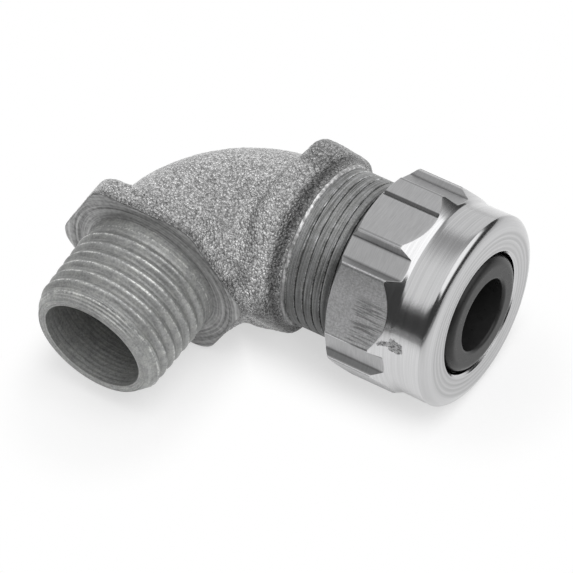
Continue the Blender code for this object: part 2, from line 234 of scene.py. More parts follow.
def signedVolume(mesh):
    mesh.calc_loop_triangles()
    corners = np.zeros(len(mesh.loop_triangles) * 3, np.int32)
    mesh.loop_triangles.foreach_get("vertices", corners)
    points = np.zeros(len(mesh.vertices) * 3, np.float64)
    mesh.vertices.foreach_get("co", points)
    a, b, c = points.reshape(-1, 3)[corners.reshape(-1, 3)].transpose(1, 0, 2)
    return float(np.einsum("ij,ij->i", a, np.cross(b, c)).sum() / 6.0)


def settle(piece, body, node, material, sharp, turn=None):
    # moves a finished shape from millimetres into the frame and lets it ride on its body
    mesh = piece.data
    if signedVolume(mesh) < 0.0:
        mesh.flip_normals()
    if turn is not None:
        mesh.transform(turn)
    mesh.transform(toFrame)
    mesh.materials.clear()
    mesh.materials.append(material)
    mesh.shade_smooth()
    mesh.set_sharp_from_angle(angle=math.radians(sharp))
    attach(piece, body)
    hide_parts(node)
    mesh.calc_loop_triangles()
    print(piece.name, len(mesh.loop_triangles), "triangles")


def addPiece(name, points, faces, marks=None):
    mesh = bpy.data.meshes.new(name)
    mesh.from_pydata(points, [], faces)
    for title, values in (marks or {}).items():
        layer = mesh.attributes.new(title, "FLOAT", "POINT")
        layer.data.foreach_set("value", np.asarray(values, np.float32))
    mesh.update()
    piece = bpy.data.objects.new(name, mesh)
    bpy.context.scene.collection.objects.link(piece)
    return piece


def gridFaces(rows, columns, rowsClosed, columnsClosed):
    # quads over a grid of points stored row by row
    r = np.arange(rows if rowsClosed else rows - 1)
    c = np.arange(columns if columnsClosed else columns - 1)
    rr, cc = np.meshgrid(r, c, indexing="ij")
    thisRow = rr * columns
    nextRow = ((rr + 1) % rows) * columns
    nextC = (cc + 1) % columns
    quads = np.stack([thisRow + cc, thisRow + nextC, nextRow + nextC, nextRow + cc], -1)
    return quads.reshape(-1, 4).tolist()


def turnedPiece(name, profile, sides):
    # closed ring of revolution about X; a profile point is (place, radius, depth of thread cut)
    profile = np.array(profile, float)
    angle = np.arange(sides) * fullTurn / sides
    x = np.repeat(profile[:, 0], sides)
    y = np.outer(profile[:, 1], np.cos(angle)).ravel()
    z = np.outer(profile[:, 1], np.sin(angle)).ravel()
    cut = np.repeat(profile[:, 2], sides)
    faces = gridFaces(len(profile), sides, True, True)
    return addPiece(name, np.stack([x, y, z], -1).tolist(), faces, {"cut": cut})


def line(start, end, count):
    # points from one (place, radius) to another, without the last one
    share = np.arange(count) / count
    x = start[0] + (end[0] - start[0]) * share
    r = start[1] + (end[1] - start[1]) * share
    return [(a, b, 0.0) for a, b in zip(x, r)]


def arc(centre, size, first, last, count):
    # points on a round, angles from the radius direction towards +X, without the last one
    points = []
    for step in range(count):
        turn = math.radians(first + (last - first) * step / count)
        points.append((centre[0] + size * math.sin(turn), centre[1] + size * math.cos(turn), 0.0))
    return points


def easeStep(value, start, end):
    share = np.clip((value - start) / (end - start), 0.0, 1.0)
    return share * share * (3.0 - 2.0 * share)


def shares(count):
    return np.linspace(0.0, 1.0, count)


def ripple(distance, pitch, depth):
    # rings left by a tool, from 0 to depth
    return depth * (0.5 + 0.5 * np.sin(distance * fullTurn / pitch))


# screw thread cut into a turned blank, right-hand about X

def makeThreadTree():
    inputs = {
        "Pitch": "NodeSocketFloat",
        "Crest Place": "NodeSocketFloat",
        "Crest Half": "NodeSocketFloat",
        "Root Half": "NodeSocketFloat",
        "Depth": "NodeSocketFloat",
        "Material": "NodeSocketMaterial",
    }
    net, wires = newTree("threadCut", inputs)
    position = net.node("GeometryNodeInputPosition")
    x, y, z = net.split(position)
    turn = net.node("ShaderNodeMath", {"operation": "ARCTAN2"}, {0: z, 1: y}) / fullTurn
    phase = (x - wires["Crest Place"]) / wires["Pitch"] - turn
    flank = (phase + 0.5).fract() - 0.5
    offCrest = abs(flank)
    height = offCrest.ease(wires["Root Half"], wires["Crest Half"])
    cut = net.node("GeometryNodeInputNamedAttribute", {"data_type": "FLOAT"}, {"Name": "cut"})
    radius = net.length(y, z)
    factor = 1.0 - wires["Depth"] * (1.0 - height) * cut / radius
    moved = net.join(x, y * factor, z * factor)
    shape = net.node("GeometryNodeSetPosition", sockets={"Geometry": wires["Geometry"], "Position": moved})
    shape = keepValue(net, shape, "crest", 1.0 - (1.0 - height) * cut)
    shape = keepValue(net, shape, "flank", flank)
    return endTree(net, shape, wires["Material"])


threadTree = makeThreadTree()


def cutThread(piece, form, crestPlace, depth, material):
    addTree(piece, threadTree, {
        "Pitch": form["pitch"], "Crest Place": crestPlace, "Crest Half": form["crestHalf"],
        "Root Half": form["rootHalf"], "Depth": depth, "Material": material})


# finishes: a pair of numbers is where a step starts and ends, and two more are its values there

def blankSkin(name):
    material = bpy.data.materials.new(name)
    material.use_nodes = True
    material.node_tree.nodes.clear()
    return material, Net(material.node_tree)


def newSkin(name):
    # a blank skin and a point on it, in millimetres in the connector's frame
    material, net = blankSkin(name)
    place = net.node("ShaderNodeTexCoord", out="Object")
    sockets = {"Vector": place, "Location": origin, "Rotation": (tilt, 0.0, 0.0), "Scale": (mm, mm, mm)}
    point = net.node("ShaderNodeMapping", {"vector_type": "TEXTURE"}, sockets)
    return material, net, point


def endSkin(net, colour, roughness, metallic, normal, specular=0.5):
    shader = net.node("ShaderNodeBsdfPrincipled", sockets={
        "Base Color": colour, "Roughness": roughness, "Metallic": metallic, "Normal": normal,
        "Specular IOR Level": specular})
    net.node("ShaderNodeOutputMaterial", sockets={"Surface": shader})


def grey(value):
    return (value, value, value, 1.0)


def mixColour(net, share, first, second):
    return net.node("ShaderNodeMix", {"data_type": "RGBA"}, {0: share, 6: first, 7: second}, out=2)


noiseSpan = (0.3, 0.7)                            # most values of a noise lie between these


def noise(net, point, scale, detail=2.0, roughness=0.5):
    sockets = {"Vector": point, "Scale": scale, "Detail": detail, "Roughness": roughness}
    return net.node("ShaderNodeTexNoise", sockets=sockets)


def drawnNoise(net, along, sides, scale, drift, detail, roughness):
    # noise with one scale along a way, and drift as its scale along the two others
    first, second = sides
    point = net.join(along * scale, first * drift, second * drift)
    return noise(net, point, 1.0, detail, roughness)


def bump(net, height):
    # height in millimetres
    return net.node("ShaderNodeBump", sockets={"Strength": 1.0, "Distance": mm, "Height": height})


def mark(net, title):
    return net.node("ShaderNodeAttribute", {"attribute_name": title}, out="Fac")


castFinish = {
    "dark": 0.39, "light": 0.90, "glint": 1.0, "pit": 0.12, "crease": 0.5, "creaseColour": 0.048,
    "grainScale": 2.7, "grainDepth": 0.44, "fineScale": 6.0, "fineDepth": 0.12,
    "drift": 0.45, "driftScale": 1.3, "cloudScale": 0.35,
    "roughLow": 0.14, "roughHigh": 0.34, "metallic": 0.65,
    # shares of grain and fine noise in the tone, and where glints, pits and clouds set in
    "grainTone": 0.6, "fineTone": 0.5, "toneSpan": (0.2, 0.8),
    "glintGrain": (0.66, 0.80), "glintCore": (0.45, 0.25),
    "pitEdge": (0.50, 0.80, 0.0, 0.5), "cloudEdge": (0.4, 0.7, 0.0, 0.2),
    # where the painted shade sets in and is full, and the share of colour that it leaves
    "rim": (13.2, 15.0), "back": (0.0, 5.0), "backTone": 0.62,
    "glandEdgeShade": (17.3, 18.2), "hubEdgeShade": (14.4, 15.7), "edgeTone": 0.55,
    "under": (15.5, 17.5), "underLift": (7.0, 0.0), "underTone": 0.45,
    # where the turned faces begin, and their look
    "shoulder": (15.9, 16.05), "neck": (19.6, 19.8), "turnedRough": 0.50, "turnedMetallic": 0.65,
    "turnedColour": 0.36, "turnedDepth": 0.05, "turnedScale": 2.2, "turnedDrift": 0.05,
    "turnedTone": (0.36, 0.64, 0.35, 1.65), "smearScale": 1.6, "smearShare": 0.25,
    # where the painted light and shade on the neck set in
    "neckSpotEdge": (0.44, 0.56), "neckLightLift": (2.0, 6.0, -0.4, 0.55),
}


def makeCastSkin():
    f = castFinish
    material, net, point = newSkin("castSkin")
    x, y, z = net.split(point)
    cloud = noise(net, point, f["cloudScale"])
    # sand grains: rounded cells of uneven size, each a little lighter or darker
    drift = net.other(noise(net, point, f["driftScale"]), "Color")
    drift = net.node("ShaderNodeVectorMath", {"operation": "SCALE"}, {0: drift, "Scale": f["drift"]})
    moved = net.node("ShaderNodeVectorMath", {"operation": "ADD"}, {0: point, 1: drift})
    cell = net.node("ShaderNodeTexVoronoi", {"feature": "F1"}, {"Vector": moved, "Scale": f["grainScale"]})
    tone, sparkle = net.split(net.other(cell, "Color"))[:2]
    fine = noise(net, point, f["fineScale"], 2.0, 0.6)
    tone = (tone * f["grainTone"] + fine * f["fineTone"]).between(*f["toneSpan"])
    cast = mixColour(net, tone, grey(f["dark"]), grey(f["light"]))
    glint = sparkle.ease(*f["glintGrain"]) * cell.ease(*f["glintCore"])
    cast = mixColour(net, glint, cast, grey(f["glint"]))
    cast = mixColour(net, cell.ease(*f["pitEdge"]), cast, grey(f["pit"]))
    cast = mixColour(net, cloud.ease(*f["cloudEdge"]), cast, grey(f["dark"]))
    # painted shade in the creases
    cast = mixColour(net, mark(net, "crease") * f["crease"], cast, grey(f["creaseColour"]))
    # painted shade on the gland flange, behind and underneath, and on the edges of both flanges
    paintedShade = x.ease(*f["rim"]) * y.ease(*f["back"], 0.0, 1.0 - f["backTone"])
    edges = x.ease(*f["glandEdgeShade"]).high((-y).ease(*f["hubEdgeShade"]))
    paintedShade = paintedShade.high(edges * (1.0 - f["edgeTone"]))
    paintedShade = paintedShade.high(x.ease(*f["under"]) * z.ease(*f["underLift"]) * (1.0 - f["underTone"]))
    cast = mixColour(net, paintedShade, cast, grey(0.0))
    # shoulder face and neck step are turned, in rings round their own axes
    shoulder = (-y).ease(*f["shoulder"])
    neck = x.ease(*f["neck"])
    turnedArea = shoulder.high(neck)
    hubRadius = net.length(x, z)
    ringLines = drawnNoise(net, hubRadius, (x, z), f["turnedScale"], f["turnedDrift"], 4.0, 0.7)
    smear = noise(net, point, f["smearScale"], 3.0)
    ringShade = ringLines * (1.0 - f["smearShare"]) + smear * f["smearShare"]
    ringShade = ringShade.between(*f["turnedTone"]) * f["turnedColour"]
    # painted light on the neck: broken bright spots above, painted shade below
    ringShade = ringShade * (1.0 + neck * smear.ease(*f["neckSpotEdge"]) * z.ease(*f["neckLightLift"]))
    colour = mixColour(net, turnedArea, cast, net.colour(ringShade, ringShade, ringShade))
    castRough = fine.between(*noiseSpan, f["roughLow"], f["roughHigh"])
    roughness = castRough + (f["turnedRough"] - castRough) * turnedArea
    metallic = f["metallic"] + turnedArea * (f["turnedMetallic"] - f["metallic"])
    height = (1.0 - cell) * f["grainDepth"] + fine * f["fineDepth"]
    height = height * (1.0 - turnedArea) + ringLines * turnedArea * f["turnedDepth"]
    endSkin(net, colour, roughness, metallic, bump(net, height))
    return material


# root is painted darker than crest, as shade in the roots; edge is the worn crest line, lightened as a
# painted highlight
threadFinish = {
    "hub": {
        "root": 0.29, "crest": 0.38, "edge": 0.62, "warm": 0.02, "rough": 0.50, "metallic": 0.62,
        "burrSheenPlace": 0.0, "burrSheenWidth": 0.09, "burrSheenFrom": 9.6,
        "lineScale": 3.0, "lineDepth": 0.03, "lineTone": 0.22,
        "fleckScale": 3.2, "fleckDepth": 0.03, "fleckTone": 0.22,
        "nutShade": (60.0, 60.7, 62.0, 62.6), "overTone": 1.0, "underTone": 1.0,      # painted shade past its end: none
    },
    "gland": {
        "root": 0.20, "crest": 0.26, "edge": 0.62, "warm": -0.02, "rough": 0.44, "metallic": 0.75,
        "burrSheenPlace": 0.42, "burrSheenWidth": 0.06, "burrSheenFrom": 11.4,
        "lineScale": 6.5, "lineDepth": 0.035, "lineTone": 0.65,
        "fleckScale": 5.0, "fleckDepth": 0.03, "fleckTone": 0.32,
        "nutShade": (26.2, 26.9, 28.2, 28.8), "overTone": 1.10, "underTone": 0.45,
    },
}

threadWear = {                                    # the same on both threads
    "lineDrift": 0.1, "lineSpan": (0.32, 0.68), "blotchScale": 0.8, "blotchTone": 0.15,
    "burrSheenCore": 0.4, "burrSheenCrest": (0.3, 0.6), "burrSheenGaps": (0.44, 0.60), "burrSheenFade": 0.2,
    "nutShadeTone": 0.5, "underLift": (0.5, 8.5), "stainEdge": (0.42, 0.66), "green": 1.01,
    "fleckRough": 0.3, "burrRough": 0.2,
}


def makeThreadSkin(name, f, alongHub):
    w = threadWear
    material, net, point = newSkin(name)
    x, y, z = net.split(point)
    along, side, up = (-y, x, z) if alongHub else (x, y, z)
    radius = net.length(side, up)
    turned = drawnNoise(net, along + radius, (side, up), f["lineScale"], w["lineDrift"], 4.0, 0.7)
    blotch = noise(net, point, w["blotchScale"], 3.0, 0.6)
    fleck = noise(net, point, f["fleckScale"], 3.0, 0.65)
    crest = mark(net, "crest")
    # the thread roots are painted darker than the crests: painted shade
    shade = crest.between(0.0, 1.0, f["root"], f["crest"])
    shade = shade * turned.between(*w["lineSpan"], 1.0 - f["lineTone"], 1.0 + f["lineTone"])
    shade = shade * blotch.between(*noiseSpan, 1.0 - w["blotchTone"], 1.0 + w["blotchTone"])
    shade = shade * fleck.between(*noiseSpan, 1.0 - f["fleckTone"], 1.0 + f["fleckTone"])
    # worn, smoother line along one edge of the crest, lightened in colour as a painted highlight
    offBurrSheen = abs(mark(net, "flank") - f["burrSheenPlace"])
    burrAndSheen = offBurrSheen.ease(f["burrSheenWidth"], f["burrSheenWidth"] * w["burrSheenCore"]) * crest.ease(*w["burrSheenCrest"])
    burrAndSheen = burrAndSheen * (blotch * 0.5 + fleck * 0.5).ease(*w["burrSheenGaps"])
    burrAndSheen = burrAndSheen * radius.ease(f["burrSheenFrom"] - w["burrSheenFade"], f["burrSheenFrom"])
    shade = shade + burrAndSheen * (f["edge"] - f["crest"])
    # painted shade where the nut ends, and painted shade underneath with painted light on top
    shadeStart, shadeFull, shadeEbb, shadeEnd = f["nutShade"]
    nutShade = along.ease(shadeStart, shadeFull) * (1.0 - along.ease(shadeEbb, shadeEnd))
    shade = shade * (1.0 - nutShade * w["nutShadeTone"]) * up.ease(*w["underLift"], f["underTone"], f["overTone"])
    stain = blotch.ease(*w["stainEdge"]) * f["warm"]
    colour = net.colour(shade, shade * w["green"], shade * (1.0 - stain))
    roughness = f["rough"] + (fleck - 0.5) * w["fleckRough"] - burrAndSheen * w["burrRough"]
    height = turned * f["lineDepth"] + fleck * f["fleckDepth"]
    endSkin(net, colour, roughness, f["metallic"], bump(net, height))
    return material


nutFinish = {
    "colour": 0.62, "flatColour": 0.58, "wornAndLitColour": 0.72, "blue": 1.01,
    "turnedScale": 6.0, "turnedDrift": 0.04, "turnedDepth": 0.011,
    "milledScale": 7.0, "milledDrift": 0.5, "milledDepth": 0.008, "lineTone": (0.88, 1.10),
    "roughTurned": 0.15, "roughMilled": 0.45, "roughWorn": 0.62, "roughDent": 0.2, "roughCloud": 0.08,
    "cloudScale": 0.6, "fleckScale": 2.6, "fleckDrift": 4.0,
    # worn flat: its turn, how far out it lies, where its tool marks are, and its dull upper half
    "wornFlat": 146.9, "wornOut": (14.3, 14.7), "wornFleck": (0.62, 0.38, 0.0, 0.2),
    "markStart": (34.6, 36.4), "markSide": (-2.6, -1.0), "markEdge": (0.48, 0.60), "markTone": 0.45,
    "markAlong": 0.16, "markAcross": 2.6, "markWander": 4.0, "dullSide": (-1.0, -5.0, 0.0, 0.15),
    # dents: place and size
    "dents": ((40.1, -13.67, 4.84, 1.15), (38.0, -13.9, 4.9, 0.55)), "dentDepth": 0.10,
    "dentLong": 0.8, "dentCore": 0.6, "dentFleck": (0.38, 0.58, 0.80, 0.25),
    "ragged": 2.4, "raggedScale": 1.7,
}


def makeNutSkin():
    f = nutFinish
    material, net, point = newSkin("nutAluminium")
    x, y, z = net.split(point)
    radius = net.length(y, z)
    turnedArea = mark(net, "turned")
    flatArea = 1.0 - turnedArea
    lines = drawnNoise(net, x + radius, (y, z), f["turnedScale"], f["turnedDrift"], 4.0, 0.7)
    milled = drawnNoise(net, x, (y, z), f["milledScale"], f["milledDrift"], 3.0, 0.7)
    cloud = noise(net, point, f["cloudScale"], 3.0, 0.6)
    fleck = drawnNoise(net, x, (y, z), f["fleckScale"], f["fleckDrift"], 3.0, 0.65)
    # one flat is worn dull, with tool marks along it
    facing = math.radians(f["wornFlat"])
    out = y * math.cos(facing) + z * math.sin(facing)
    across = z * math.cos(facing) - y * math.sin(facing)
    worn = out.ease(*f["wornOut"]) * flatArea
    streak = noise(net, net.join(x * f["markAlong"], across * f["markAcross"], 0.0), 1.0, 3.0, 0.6)
    streaks = streak.ease(*f["markEdge"]) * (x + streak * f["markWander"]).ease(*f["markStart"])
    streaks = streaks * across.ease(*f["markSide"]) * worn
    # scuffed dents in the collar beside it
    scuff = noise(net, point, f["raggedScale"], 4.0, 0.7)
    dent = None
    for place, side, lift, size in f["dents"]:
        spot = net.length((x - place) * f["dentLong"], y - side, z - lift)
        spot = spot + (scuff - 0.5) * (size * f["ragged"])
        hollow = spot.ease(size, size * f["dentCore"])
        dent = hollow if dent is None else dent.high(hollow)
    shade = turnedArea * f["colour"] + flatArea * f["flatColour"]
    # the worn flat is lighter: partly wear, partly painted light
    shade = shade + worn * (f["wornAndLitColour"] - f["flatColour"])
    shade = shade * (lines * turnedArea + milled * flatArea).between(*noiseSpan, *f["lineTone"])
    shade = shade * (1.0 - worn * (fleck.ease(*f["wornFleck"]) + across.ease(*f["dullSide"])))
    shade = shade * (1.0 - streaks * f["markTone"])
    shade = shade * (1.0 - dent * fleck.ease(*f["dentFleck"]))
    # painted light and shade from the mesh's tone
    shade = shade * mark(net, "tone")
    colour = net.colour(shade, shade, shade * f["blue"])
    roughness = turnedArea * f["roughTurned"] + flatArea * f["roughMilled"]
    roughness = roughness + worn * (f["roughWorn"] - f["roughMilled"])
    roughness = roughness + (cloud - 0.5) * f["roughCloud"] + dent * f["roughDent"]
    height = lines * turnedArea * f["turnedDepth"] + milled * flatArea * f["milledDepth"]
    height = height + dent * (fleck - 1.0) * f["dentDepth"]
    endSkin(net, colour, roughness, 1.0, bump(net, height))
    return material


rubberFinish = {
    "colour": 0.017, "dust": 0.026, "rough": 0.30, "depth": 0.006, "specular": 0.25,
    "fineScale": 7.0, "dustScale": 0.9, "dustEdge": (0.45, 0.7, 0.0, 0.5), "dustRough": 0.2,
    "face": (45.2, 45.7, 0.0, 0.4),
}


def makeRubberSkin():
    f = rubberFinish
    material, net, point = newSkin("bushingRubber")
    x = net.split(point)[0]
    fine = noise(net, point, f["fineScale"], 3.0, 0.6)
    dust = noise(net, point, f["dustScale"], 3.0, 0.6)
    dusty = x.ease(*f["face"]) + dust.ease(*f["dustEdge"])
    colour = mixColour(net, dusty, grey(f["colour"]), grey(f["dust"]))
    roughness = f["rough"] + (dust - 0.5) * f["dustRough"]
    endSkin(net, colour, roughness, 0.0, bump(net, fine * f["depth"]), f["specular"])
    return material


washerFinish = {
    "dark": 0.42, "light": 0.62, "roughLow": 0.28, "roughHigh": 0.42,
    "lineScale": 8.0, "lineDrift": 0.1, "depth": 0.008,
}


def makeWasherSkin():
    f = washerFinish
    material, net, point = newSkin("washerSteel")
    y, z = net.split(point)[1:]
    radius = net.length(y, z)
    lines = drawnNoise(net, radius, (y, z), f["lineScale"], f["lineDrift"], 3.0, 0.6)
    shade = lines.between(*noiseSpan, f["dark"], f["light"])
    roughness = lines.between(*noiseSpan, f["roughLow"], f["roughHigh"])
    endSkin(net, net.colour(shade, shade, shade), roughness, 1.0, bump(net, lines * f["depth"]))
    return material


castSkin = makeCastSkin()
hubSkin = makeThreadSkin("hubTurned", threadFinish["hub"], True)
glandSkin = makeThreadSkin("glandTurned", threadFinish["gland"], False)
nutSkin = makeNutSkin()
rubberSkin = makeRubberSkin()
washerSkin = makeWasherSkin()
print("finishes made")


# cast elbow: bend, two wrench flanges and neck run together, hollowed by the wire passage

elbow = {
    "bend": 15.1, "section": 12.5, "inset": 2.1, "bore": 7.95,
    "mergeShare": 0.9, "mergeSweep": 62.0, "mergeStart": -8.0, "mergeEnd": -1.0,
    "hexApothem": 13.7, "hexRound": 4.4, "embed": 0.6,
    "hubFace": 16.1, "hubWidth": 3.8, "hubEdge": 0.9, "hubBlend": 1.6, "hubOver": 3.0,
    "glandFace": 18.2, "glandWidth": 4.1, "glandEdge": 1.5, "glandBlend": 2.8,
    "neckRadius": 12.35, "neckEnd": 20.2, "neckBlend": 1.8, "neckOver": 1.0,
    "cell": 0.28, "boxLow": (-16.0, -17.0, -14.6), "boxHigh": (21.2, 16.2, 14.6),
    "grainScale": 1.9, "grainDepth": 0.10, "waveScale": 0.28, "waveDepth": 0.10,
    "faceFade": (0.1, 0.5), "neckFade": (0.1, 0.4), "boreFade": (0.1, 0.5), "falloff": 0.2,
    "glandCrease": (0.55, 0.95, 0.0, 0.6), "hubCrease": (0.5, 1.0, 0.0, 0.3), "neckCrease": (0.35, 0.80),
}


def hexDistance(net, u, v, apothem, corner):
    # distance to a rounded hexagon with corners on the u axis
    side = math.sqrt(3.0) / 2.0
    pu, pv = abs(u), abs(v)
    fold = (pv * 0.5 - pu * side).low(0.0)
    pu = pu + fold * (2.0 * side)
    pv = pv - fold
    flat = apothem - corner
    half = flat / math.sqrt(3.0)
    cu = pu - pu.low(half).high(-half)
    cv = pv - flat
    return net.length(cu, cv) * cv.sign() - corner


def plateDistance(net, outline, along, start, end, edge):
    a = outline + edge
    b = abs(along - (start + end) / 2.0) - ((end - start) / 2.0 - edge)
    return a.high(b).low(0.0) + net.length(a.high(0.0), b.high(0.0)) - edge


def melt(first, second, size):
    # union of two distances with a fillet, and how near a point is to the fillet
    gap = (size - abs(first - second)).high(0.0) / size
    return first.low(second) - gap * gap * (size / 4.0), gap


def makeElbowTree():
    e = elbow
    net, wires = newTree("castElbow", {
        "Cell": "NodeSocketFloat", "Grain Depth": "NodeSocketFloat",
        "Wave Depth": "NodeSocketFloat", "Material": "NodeSocketMaterial"})
    x, y, z = net.split(net.node("GeometryNodeInputPosition"))
    ring = net.length((x - e["bend"]).low(0.0), (y + e["bend"]).high(0.0))
    pipe = net.length(ring - (e["bend"] - e["inset"]), z) - e["section"]
    # near the hub the bend takes on the hexagon's shape, and it stops inside the flanges
    across = e["bend"] - ring
    sweep = net.node("ShaderNodeMath", {"operation": "ARCTAN2"}, {0: y + e["bend"], 1: e["bend"] - x})
    merge = sweep.ease(math.radians(e["mergeSweep"]), 0.0) * across.ease(e["mergeStart"], e["mergeEnd"])
    bendHex = hexDistance(net, across, z, e["hexApothem"], e["hexRound"])
    pipe = pipe + (bendHex - pipe) * merge * e["mergeShare"]
    glandBack = e["glandFace"] - e["glandWidth"]
    hubBack = e["hubFace"] - e["hubWidth"]
    pipe = pipe.high(x - glandBack - e["embed"]).high(-y - hubBack - e["embed"])
    glandHex = hexDistance(net, y, z, e["hexApothem"], e["hexRound"])
    glandPlate = plateDistance(net, glandHex, x, glandBack, e["glandFace"], e["glandEdge"])
    # hub plate and neck run past their faces, which are then cut flat
    hubHex = hexDistance(net, x, z, e["hexApothem"], e["hexRound"])
    hubPlate = plateDistance(net, hubHex, -y, hubBack, e["hubFace"] + e["hubOver"], e["hubEdge"])
    neck = (net.length(y, z) - e["neckRadius"]).high(x - e["neckEnd"] - e["neckOver"]).high(e["bend"] - x)
    body, glandCrease = melt(pipe, glandPlate, e["glandBlend"])
    body, hubCrease = melt(body, hubPlate, e["hubBlend"])
    body, neckCrease = melt(body, neck, e["neckBlend"])
    body = body.high(x - e["neckEnd"]).high(-y - e["hubFace"])
    passage = net.length(ring - e["bend"], z) - e["bore"]
    body = body.high(-passage)
    low, high = e["boxLow"], e["boxHigh"]
    counts = [int(math.ceil((high[axis] - low[axis]) / e["cell"])) for axis in range(3)]
    level = 0.5
    block = net.node("GeometryNodeVolumeCube", sockets={
        "Density": level - body * e["falloff"], "Min": low, "Max": high,
        "Resolution X": counts[0], "Resolution Y": counts[1], "Resolution Z": counts[2]})
    skin = net.node("GeometryNodeVolumeToMesh", {"resolution_mode": "VOXEL_SIZE"}, {
        "Volume": block, "Voxel Size": wires["Cell"], "Threshold": level, "Adaptivity": 0.0})
    # sand grain and slight waviness on the cast skin only
    rough = (y + e["hubFace"]).ease(*e["faceFade"]) * (e["neckEnd"] - x).ease(*e["neckFade"])
    rough = rough * passage.ease(*e["boreFade"])
    point = net.node("GeometryNodeInputPosition")
    grain = noise(net, point, e["grainScale"]) - 0.5
    wave = noise(net, point, e["waveScale"], 1.0) - 0.5
    lift = (grain * wires["Grain Depth"] + wave * wires["Wave Depth"]) * 2.0 * rough
    normal = net.node("GeometryNodeInputNormal")
    offset = net.node("ShaderNodeVectorMath", {"operation": "SCALE"}, {0: normal, "Scale": lift})
    skin = net.node("GeometryNodeSetPosition", sockets={"Geometry": skin, "Offset": offset})
    # painted shade in the creases, by how near a point lies to a fillet
    crease = glandCrease.ease(*e["glandCrease"]).high(hubCrease.ease(*e["hubCrease"]))
    crease = crease.high(neckCrease.ease(*e["neckCrease"])) * rough
    skin = keepValue(net, skin, "crease", crease)
    return endTree(net, skin, wires["Material"])


castElbow = addPiece("castElbow", [], [])
addTree(castElbow, makeElbowTree(), {
    "Cell": elbow["cell"], "Grain Depth": elbow["grainDepth"],
    "Wave Depth": elbow["waveDepth"], "Material": castSkin})
setPlain(castElbow)
settle(castElbow, "elbow", "elbow_body", castSkin, sharp=60.0)


# turned hub and gland with their threads

hub = {
    "start": 15.4, "shoulder": 16.1, "end": 31.3, "neck": 1.4, "neckDrop": 0.33,
    "crest": 10.3, "taper": 1.0 / 32.0, "depth": 0.40, "pitch": inch / 14.0, "firstCrest": 1.7,
    "crestHalf": 0.02, "rootHalf": 0.48,
    "lip": 9.1, "lipLength": 1.9, "bore": 7.9, "boreEdge": 0.1,
    "ridge": 0.11, "ridgePitch": 0.42, "boreRidge": 0.03, "boreRidgePitch": 0.75,
    "step": 0.07, "mouthStep": 0.06, "boreStep": 0.15, "sides": 192,
}


def makeHub():
    h = hub
    place = np.arange(h["start"], h["end"], h["step"])
    crest = h["crest"] + (h["end"] - place) * h["taper"]
    full = easeStep(place, h["shoulder"] + h["neck"], h["shoulder"] + h["neck"] + h["pitch"])
    slope = (h["crest"] - h["lip"]) / h["lipLength"]
    lip = h["lip"] + (h["end"] - place) * slope
    radius = np.minimum(crest - h["neckDrop"] * (1.0 - full), lip)
    cut = full * np.clip((lip - crest + h["depth"]) / h["depth"], 0.0, 1.0)
    ridges = ripple(h["end"] - place, h["ridgePitch"], h["ridge"]) * (lip < crest)
    profile = list(zip(place, radius - ridges, cut))
    edge = h["bore"] + h["boreEdge"]
    crestShift = h["ridgePitch"] / 4.0            # a ring's crest lies on the lip
    for radius in np.arange(h["lip"], edge, -h["mouthStep"]):
        ridge = ripple(h["lip"] - radius + crestShift, h["ridgePitch"], h["ridge"])
        profile.append((h["end"] - ridge, radius, 0.0))
    profile += line((h["end"], edge), (h["end"] - h["boreEdge"], h["bore"]), 2)
    for place in np.arange(h["end"] - h["boreEdge"], h["start"], -h["boreStep"]):
        profile.append((place, h["bore"] + ripple(place, h["boreRidgePitch"], h["boreRidge"]), 0.0))
    profile += line((h["start"], h["bore"]), (h["start"], profile[0][1]), 2)
    return turnedPiece("hubScrew", profile, h["sides"])


hubScrew = makeHub()
cutThread(hubScrew, hub, hub["end"] - hub["firstCrest"], hub["depth"], hubSkin)
setPlain(hubScrew)
settle(hubScrew, "elbow", "elbow_body", hubSkin, sharp=40.0, turn=ontoHub)

gland = {
    "start": 19.4, "landEnd": 20.4, "end": glandEnd, "chamfer": 0.7,
    "crest": 12.03, "depth": 0.3, "pitch": inch / 18.0, "crestHalf": 0.40, "rootHalf": 0.50,
    "bore": 7.9, "seatStart": 26.0, "seat": 10.53, "step": 0.05, "sides": 208,
}


def makeGland():
    g = gland
    place = np.arange(g["start"], g["end"], g["step"])
    full = easeStep(place, g["landEnd"], g["landEnd"] + g["pitch"])
    rim = g["crest"] - g["depth"] + (g["end"] - place) * g["depth"] / g["chamfer"]
    radius = np.minimum(g["crest"], rim)
    cut = full * np.clip((rim - g["crest"] + g["depth"]) / g["depth"], 0.0, 1.0)
    profile = list(zip(place, radius, cut))
    profile += line((g["end"], g["crest"] - g["depth"]), (g["end"], g["seat"]), 3)
    profile += line((g["end"], g["seat"]), (g["seatStart"], g["bore"]), 12)
    profile += line((g["seatStart"], g["bore"]), (g["start"], g["bore"]), 6)
    profile += line((g["start"], g["bore"]), (g["start"], radius[0]), 2)
    return turnedPiece("glandScrew", profile, g["sides"])


glandScrew = makeGland()
cutThread(glandScrew, gland, gland["end"], gland["depth"], glandSkin)
setPlain(glandScrew)
settle(glandScrew, "elbow", "elbow_body", glandSkin, sharp=40.0)


# gland nut: one sixth in mesh code, copied round the axis

